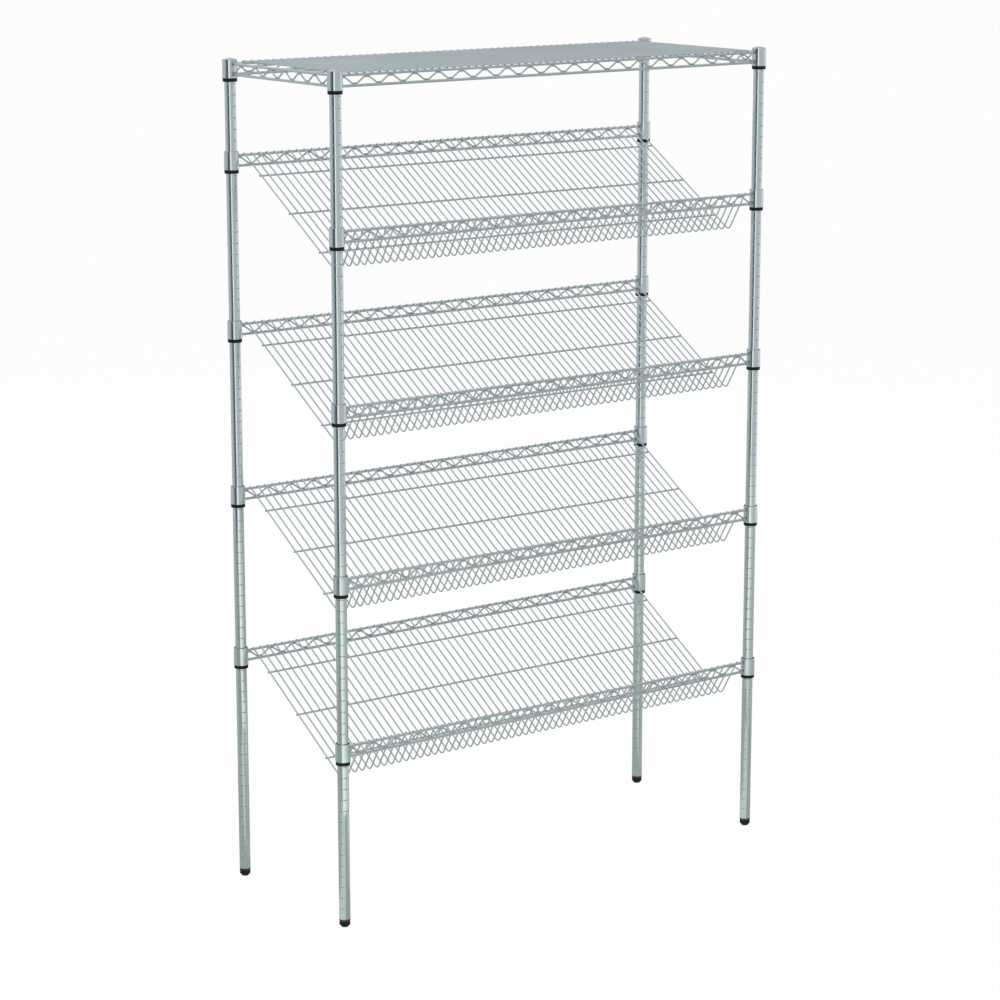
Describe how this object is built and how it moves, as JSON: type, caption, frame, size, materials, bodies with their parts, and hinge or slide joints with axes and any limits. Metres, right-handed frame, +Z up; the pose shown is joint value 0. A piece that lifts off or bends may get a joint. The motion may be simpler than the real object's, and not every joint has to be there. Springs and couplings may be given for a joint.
{
  "type": "bakery bread rack",
  "caption": "Wire bread rack: grooved round posts on levelling feet, a flat top shelf and slanted wire shelves with a raised front lip.",
  "frame": {"origin": "on the floor, midway between the four posts", "axes": "+X from the left posts to the right posts seen from the front, +Y to the rear, +Z up"},
  "size_m": [1.218, 0.456, 1.9036],
  "materials": {
    "chromed_tube": "bright chrome plate on steel tube",
    "chromed_wire": "bright chrome plate on welded steel wire",
    "chromed_collar": "bright chrome plate on steel collars",
    "cap_metal": "bright metal cap",
    "dull_zinc": "dull zinc plate",
    "black_plastic": "black moulded plastic",
    "black_pad": "black moulded plastic"
  },
  "bodies": {
    "posts": {"post_rear_left": "chromed_tube", "post_cap_rear_left": "cap_metal", "foot_insert_rear_left": "dull_zinc", "post_front_left": "chromed_tube", "post_cap_front_left": "cap_metal", "foot_insert_front_left": "dull_zinc", "post_front_right": "chromed_tube", "post_cap_front_right": "cap_metal", "foot_insert_front_right": "dull_zinc", "post_rear_right": "chromed_tube", "post_cap_rear_right": "cap_metal", "foot_insert_rear_right": "dull_zinc", "top_shelf_split_sleeves": "black_plastic", "slanted_shelf_1_split_sleeves": "black_plastic", "slanted_shelf_2_split_sleeves": "black_plastic", "slanted_shelf_3_split_sleeves": "black_plastic", "slanted_shelf_4_split_sleeves": "black_plastic"},
    "top_shelf": {"top_shelf_collars": "chromed_collar", "top_shelf_front_rails": "chromed_wire", "top_shelf_rear_rails": "chromed_wire", "top_shelf_side_rails": "chromed_wire", "top_shelf_truss_wires": "chromed_wire", "top_shelf_deck_wires": "chromed_wire", "top_shelf_stringers": "chromed_wire"},
    "slanted_shelf_1": {"slanted_shelf_1_collars": "chromed_collar", "slanted_shelf_1_front_rails": "chromed_wire", "slanted_shelf_1_rear_rails": "chromed_wire", "slanted_shelf_1_truss_wires": "chromed_wire", "slanted_shelf_1_deck_wires": "chromed_wire", "slanted_shelf_1_stringers": "chromed_wire"},
    "slanted_shelf_2": {"slanted_shelf_2_collars": "chromed_collar", "slanted_shelf_2_front_rails": "chromed_wire", "slanted_shelf_2_rear_rails": "chromed_wire", "slanted_shelf_2_truss_wires": "chromed_wire", "slanted_shelf_2_deck_wires": "chromed_wire", "slanted_shelf_2_stringers": "chromed_wire"},
    "slanted_shelf_3": {"slanted_shelf_3_collars": "chromed_collar", "slanted_shelf_3_front_rails": "chromed_wire", "slanted_shelf_3_rear_rails": "chromed_wire", "slanted_shelf_3_truss_wires": "chromed_wire", "slanted_shelf_3_deck_wires": "chromed_wire", "slanted_shelf_3_stringers": "chromed_wire"},
    "slanted_shelf_4": {"slanted_shelf_4_collars": "chromed_collar", "slanted_shelf_4_front_rails": "chromed_wire", "slanted_shelf_4_rear_rails": "chromed_wire", "slanted_shelf_4_truss_wires": "chromed_wire", "slanted_shelf_4_deck_wires": "chromed_wire", "slanted_shelf_4_stringers": "chromed_wire"},
    "foot_rear_left": {"foot_stem_rear_left": "dull_zinc", "foot_pad_rear_left": "black_pad"},
    "foot_front_left": {"foot_stem_front_left": "dull_zinc", "foot_pad_front_left": "black_pad"},
    "foot_front_right": {"foot_stem_front_right": "dull_zinc", "foot_pad_front_right": "black_pad"},
    "foot_rear_right": {"foot_stem_rear_right": "dull_zinc", "foot_pad_rear_right": "black_pad"}
  },
  "joints": [
    {"name": "top_shelf_lift", "type": "slide", "parent": "posts", "child": "top_shelf", "axis": [0, 0, 1], "range_m": [0, 0.06]},
    {"name": "slanted_shelf_1_lift", "type": "slide", "parent": "posts", "child": "slanted_shelf_1", "axis": [0, 0, 1], "range_m": [0, 0.15]},
    {"name": "slanted_shelf_2_lift", "type": "slide", "parent": "posts", "child": "slanted_shelf_2", "axis": [0, 0, 1], "range_m": [0, 0.325]},
    {"name": "slanted_shelf_3_lift", "type": "slide", "parent": "posts", "child": "slanted_shelf_3", "axis": [0, 0, 1], "range_m": [0, 0.325]},
    {"name": "slanted_shelf_4_lift", "type": "slide", "parent": "posts", "child": "slanted_shelf_4", "axis": [0, 0, 1], "range_m": [0, 0.325]},
    {"name": "foot_rear_left_screw", "type": "slide", "parent": "posts", "child": "foot_rear_left", "axis": [0, 0, -1], "range_m": [0, 0.018]},
    {"name": "foot_front_left_screw", "type": "slide", "parent": "posts", "child": "foot_front_left", "axis": [0, 0, -1], "range_m": [0, 0.018]},
    {"name": "foot_front_right_screw", "type": "slide", "parent": "posts", "child": "foot_front_right", "axis": [0, 0, -1], "range_m": [0, 0.018]},
    {"name": "foot_rear_right_screw", "type": "slide", "parent": "posts", "child": "foot_rear_right", "axis": [0, 0, -1], "range_m": [0, 0.018]}
  ]
}
